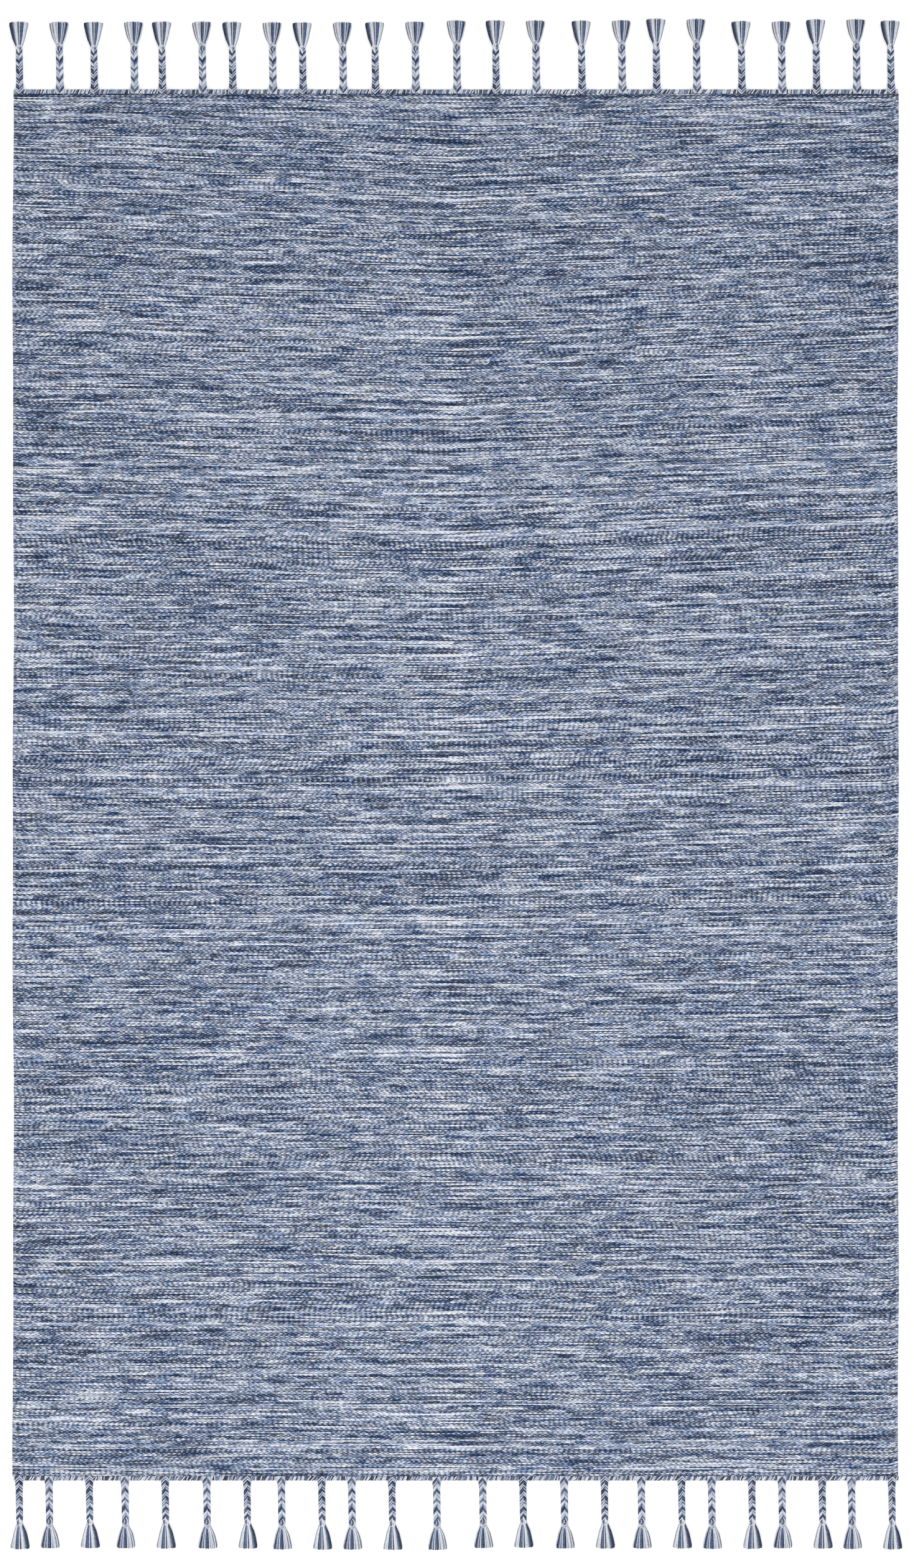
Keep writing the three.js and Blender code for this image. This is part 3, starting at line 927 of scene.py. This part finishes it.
def overcast_tree():
    """Turns of yarn round an edge, one at each point of the base mesh, over a core painted dark as shade."""
    tree, start, end = new_tree("overcast along an edge", {
        "Depth": "NodeSocketFloat", "Height": "NodeSocketFloat", "Yarn": "NodeSocketFloat",
        "Corners": "NodeSocketInt", "Sides": "NodeSocketInt", "Material": "NodeSocketMaterial",
    })
    depth, height, yarn = (start.outputs[name] for name in ("Depth", "Height", "Yarn"))
    oval = add_node(tree, "ShaderNodeCombineXYZ", {0: height, 1: depth, 2: 1.0})
    loop = add_node(tree, "GeometryNodeTransform", {
        0: circle(tree, start.outputs["Corners"]), 2: (0.0, math.pi / 2, 0.0), 3: oval,
    })
    section = yarn_section(tree, start.outputs["Sides"])
    loop = add_node(tree, "GeometryNodeCurveToMesh", {0: with_length(tree, loop), 1: section, 2: yarn})

    turned = add_node(tree, "ShaderNodeCombineXYZ", {2: of_point(tree, "lean")})
    longer = add_node(tree, "ShaderNodeCombineXYZ", {0: 1.0, 1: of_point(tree, "stretch"), 2: 1.0})
    turns = add_node(tree, "GeometryNodeInstanceOnPoints", {
        0: start.outputs[0], 2: loop, 5: turned, 6: longer,
    })

    path = add_node(tree, "GeometryNodeMeshToCurve", {0: start.outputs[0]})
    path = add_node(tree, "GeometryNodeSetCurveNormal", {0: path}, mode="Z_UP")
    bar = add_node(tree, "ShaderNodeCombineXYZ", {0: depth, 1: height, 2: 1.0})
    bar = vector_calc(tree, "MULTIPLY", bar, CORE["shares"])
    core = add_node(tree, "GeometryNodeTransform", {0: circle(tree, CORE["corners"]), 3: bar})
    core = add_node(tree, "GeometryNodeCurveToMesh", {0: path, 1: core, 3: True})
    # The core's near-black tone is painted shade showing between the turns.
    core = stored(tree, core, "tone", CORE["tone"])
    both = add_node(tree, "GeometryNodeJoinGeometry", {0: turns})
    tree.links.new(core.outputs[0], both.inputs[0])
    finish_tree(tree, start, end, both)
    return tree


# The overcast yarn's light and dark lengths, which alternate: the share of each, its tone and how blue.
OVERCAST_DYES = [
    [(5, 0.95, 0.1), (4, 0.84, 0.4), (2, 0.66, 0.5)],
    [(4, 0.42, 1.0), (3, 0.28, 0.6), (3, 0.1, 0.3)],
]

# How many turns run on in one dye.
RUN_LENGTHS = (1, 1, 1, 2, 2, 3)


def overcast_piece(tree, name, points, leans, stretches, sizes, material, seed):
    """Turns of yarn at points, in runs of one dye, the light dyes and the dark ones in turn."""
    chance = random.Random(seed)
    count = len(points)
    tones, turns = [], []
    runs = 0
    while len(tones) < count:
        dyes = OVERCAST_DYES[runs % 2]
        _, tone, turn = chance.choices(dyes, [dye[0] for dye in dyes])[0]
        runs += 1
        for _ in range(chance.choice(RUN_LENGTHS)):
            tones.append(min(1.0, max(0.0, tone + chance.uniform(-0.1, 0.1))))
            turns.append(turn)
    values = {"tone": tones[:count], "turn": turns[:count], "lean": leans, "stretch": stretches}
    mesh = base_mesh(name, points, [(i, i + 1) for i in range(count - 1)], values)
    return made_by(tree, name, mesh, {
        "Depth": sizes["depth"] * MM, "Height": sizes["height"] * MM, "Yarn": sizes["yarn"] * MM,
        "Corners": sizes["corners"], "Sides": sizes["sides"], "Material": material,
    })


# The overcast yarn, in millimetres. Its turns are stretched unevenly, inwards alone, and lie a little
# above or below their middle height.
OVERCAST = {
    "pitch": 2.35, "yarn": 1.15, "depth": 3.05, "height": 1.8, "middle": 3.0, "off": 0.15, "out": 0.2,
    "stretch": (1.0, 1.22), "corners": 10, "sides": 5,
}

# How a turn leans, in degrees. Its lean swings slowly along the edge, fans out on each side of a plait and
# stays between two limits. Over so many millimetres at the rug's corners it comes upright.
LEAN = {
    "middle": 24, "least": -30, "most": 48, "swing": 48, "kept": 0.72, "taken": 0.28, "own": 6,
    "fan": 22, "fan_reach": 15, "upright_over": 6,
}


def overcast_end(tree, row, material):
    """The overcast yarn along one end."""
    node = f"end_binding_{row}"
    low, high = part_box(node)
    way = WAY[row]
    chance = random.Random(f"overcast {row}")
    roots = [root_across(row, *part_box(f"tassel_{row}_{number:02d}")) for number in ROW_NUMBERS]
    middle_y = (low.y + high.y) / 2
    count = round((high.x - low.x - 2 * OVERCAST["yarn"] * MM) / (OVERCAST["pitch"] * MM))
    upright_over = LEAN["upright_over"] * MM
    points, leans, stretches = [], [], []
    swing = 0.0
    for i in range(count):
        x = low.x + OVERCAST["yarn"] * MM + (i + 0.5) * OVERCAST["pitch"] * MM
        push = chance.uniform(-LEAN["swing"], LEAN["swing"])
        swing = LEAN["kept"] * swing + LEAN["taken"] * push
        root = min(roots, key=lambda place: abs(place - x))
        beside = (x - root) / (LEAN["fan_reach"] * MM)
        fan = LEAN["fan"] * math.copysign(1, beside) * max(0.0, 1 - abs(beside))
        lean = LEAN["middle"] + swing + fan + chance.uniform(-LEAN["own"], LEAN["own"])
        lean = math.radians(min(LEAN["most"], max(LEAN["least"], lean)))
        lean *= min(1.0, (x - low.x) / upright_over, (high.x - x) / upright_over)
        stretch = chance.uniform(*OVERCAST["stretch"]) / math.cos(lean)
        longer = (stretch * math.cos(lean) - 1) * OVERCAST["depth"] * MM
        z = OVERCAST["middle"] * MM + chance.uniform(-OVERCAST["off"], OVERCAST["off"]) * MM
        points.append((x, middle_y + way * (OVERCAST["out"] * MM - longer), z))
        leans.append(-lean)
        stretches.append(stretch)
    piece = overcast_piece(tree, f"overcast_{row}", points, leans, stretches, OVERCAST, material, row)
    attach(piece, "root")
    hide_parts(node)
    return piece


# The weft's turns round the outermost warp, in millimetres and degrees: how far in from the cloth's edge
# and how high their middles lie, how far each lies off that line, how it leans and how it is stretched.
SELVEDGE = {
    "pitch": 4.4, "yarn": 1.0, "depth": 2.6, "height": 1.9, "inset": 3.5, "middle": 2.92, "off": 0.25,
    "lean": (-34, 14), "stretch": (0.85, 1.25), "corners": 8, "sides": 4,
}

# How much of its lean each side's turns have, and which way.
SELVEDGE_LEANS = {"left": 0.35, "right": -1.0}


def selvedge(tree, side, material):
    """The weft's turns along one long edge."""
    chance = random.Random(f"selvedge {side}")
    way = 1 if side == "right" else -1
    count = round(2 * FIELD_HALF_LENGTH / (SELVEDGE["pitch"] * MM)) - 1
    points, leans, stretches = [], [], []
    for i in range(count):
        y = (i + 1 - (count + 1) / 2) * SELVEDGE["pitch"] * MM
        out = RUG_WIDTH / 2 * MM + stray(side, y) - SELVEDGE["inset"] * MM
        out += chance.uniform(-SELVEDGE["off"], SELVEDGE["off"]) * MM
        points.append((MIDDLE.x + way * out, MIDDLE.y + y, SELVEDGE["middle"] * MM))
        lean = math.radians(chance.uniform(*SELVEDGE["lean"])) * SELVEDGE_LEANS[side]
        leans.append(math.pi / 2 + lean)
        stretches.append(chance.uniform(*SELVEDGE["stretch"]))
    piece = overcast_piece(tree, f"selvedge_{side}", points, leans, stretches, SELVEDGE, material, side)
    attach(piece, "root")
    return piece


overcast_maker = overcast_tree()
edge_cotton = plied_cotton("plied cotton, overcast")
bindings = [overcast_end(overcast_maker, row, edge_cotton) for row in ("far", "near")]
selvedges = [selvedge(overcast_maker, side, edge_cotton) for side in ("left", "right")]

# Half the floor's width, in metres.
FLOOR_HALF_WIDTH = 6.0


def studio_floor():
    """White studio paper that lights itself a little, so that it shows as bright as the photo's."""
    material, tree, shader = start_material("matt white studio paper", {
        "Roughness": 0.95, "Emission Color": linear("#ffffff"), "Emission Strength": 0.2,
    })
    grain = add_node(tree, "ShaderNodeTexNoise", {"Scale": 30.0, "Detail": 3.0})
    tint = mixed_colour(tree, grain, linear("#f8f8f8"), linear("#fdfdfd"))
    tree.links.new(tint, shader.inputs["Base Color"])
    half = FLOOR_HALF_WIDTH
    mesh = bpy.data.meshes.new("floor")
    mesh.from_pydata([(-half, -half, 0), (half, -half, 0), (half, half, 0), (-half, half, 0)],
                     [], [(0, 1, 2, 3)])
    mesh.materials.append(material)
    floor = in_scene("floor", mesh)


# The lamps' places and sizes, in metres, and their power in watts.
LAMPS = {
    "key": {"place": (-0.5, -1.7, 3.4), "size": 2.6, "power": 40},
    "fill": {"place": (0.6, 1.6, 3.6), "size": 3.2, "power": 18},
}
SKY_STRENGTH = 0.75


def studio_lights():
    """Soft white light from all round, and two broad lamps that face the rug's middle."""
    world = bpy.data.worlds.new("soft studio")
    world.use_nodes = True
    background = world.node_tree.nodes["Background"]
    background.inputs[0].default_value = linear("#ffffff")
    background.inputs[1].default_value = SKY_STRENGTH
    bpy.context.scene.world = world
    for name, facts in LAMPS.items():
        light = bpy.data.lights.new(name, "AREA")
        light.size = facts["size"]
        light.energy = facts["power"]
        lamp = in_scene(name, light)
        lamp.location = facts["place"]
        lamp.rotation_euler = (-Vector(facts["place"])).to_track_quat("-Z", "Y").to_euler()


# The photo's frame is 2520 pixels high at this many millimetres each, and its middle lies this far, in
# pixels, from the cloth's.
FRAME_HEIGHT_PX = 2520
PIXEL = 1.0702
FRAME_OFFSET_PX = (2.25, 1.5)
LENS = 70
SENSOR = 36


def photo_camera():
    """The camera looks straight down, from where the frame's height is that of the photo."""
    lens = bpy.data.cameras.new("camera")
    lens.lens = LENS
    lens.sensor_width = SENSOR
    camera = in_scene("camera", lens)
    camera.location = (
        MIDDLE.x + FRAME_OFFSET_PX[0] * PIXEL * MM,
        MIDDLE.y + FRAME_OFFSET_PX[1] * PIXEL * MM,
        CLOTH_THICKNESS * MM + FRAME_HEIGHT_PX * PIXEL * MM * LENS / SENSOR,
    )
    bpy.context.scene.camera = camera


studio_floor()
studio_lights()
photo_camera()
bpy.context.scene.view_settings.view_transform = "Standard"
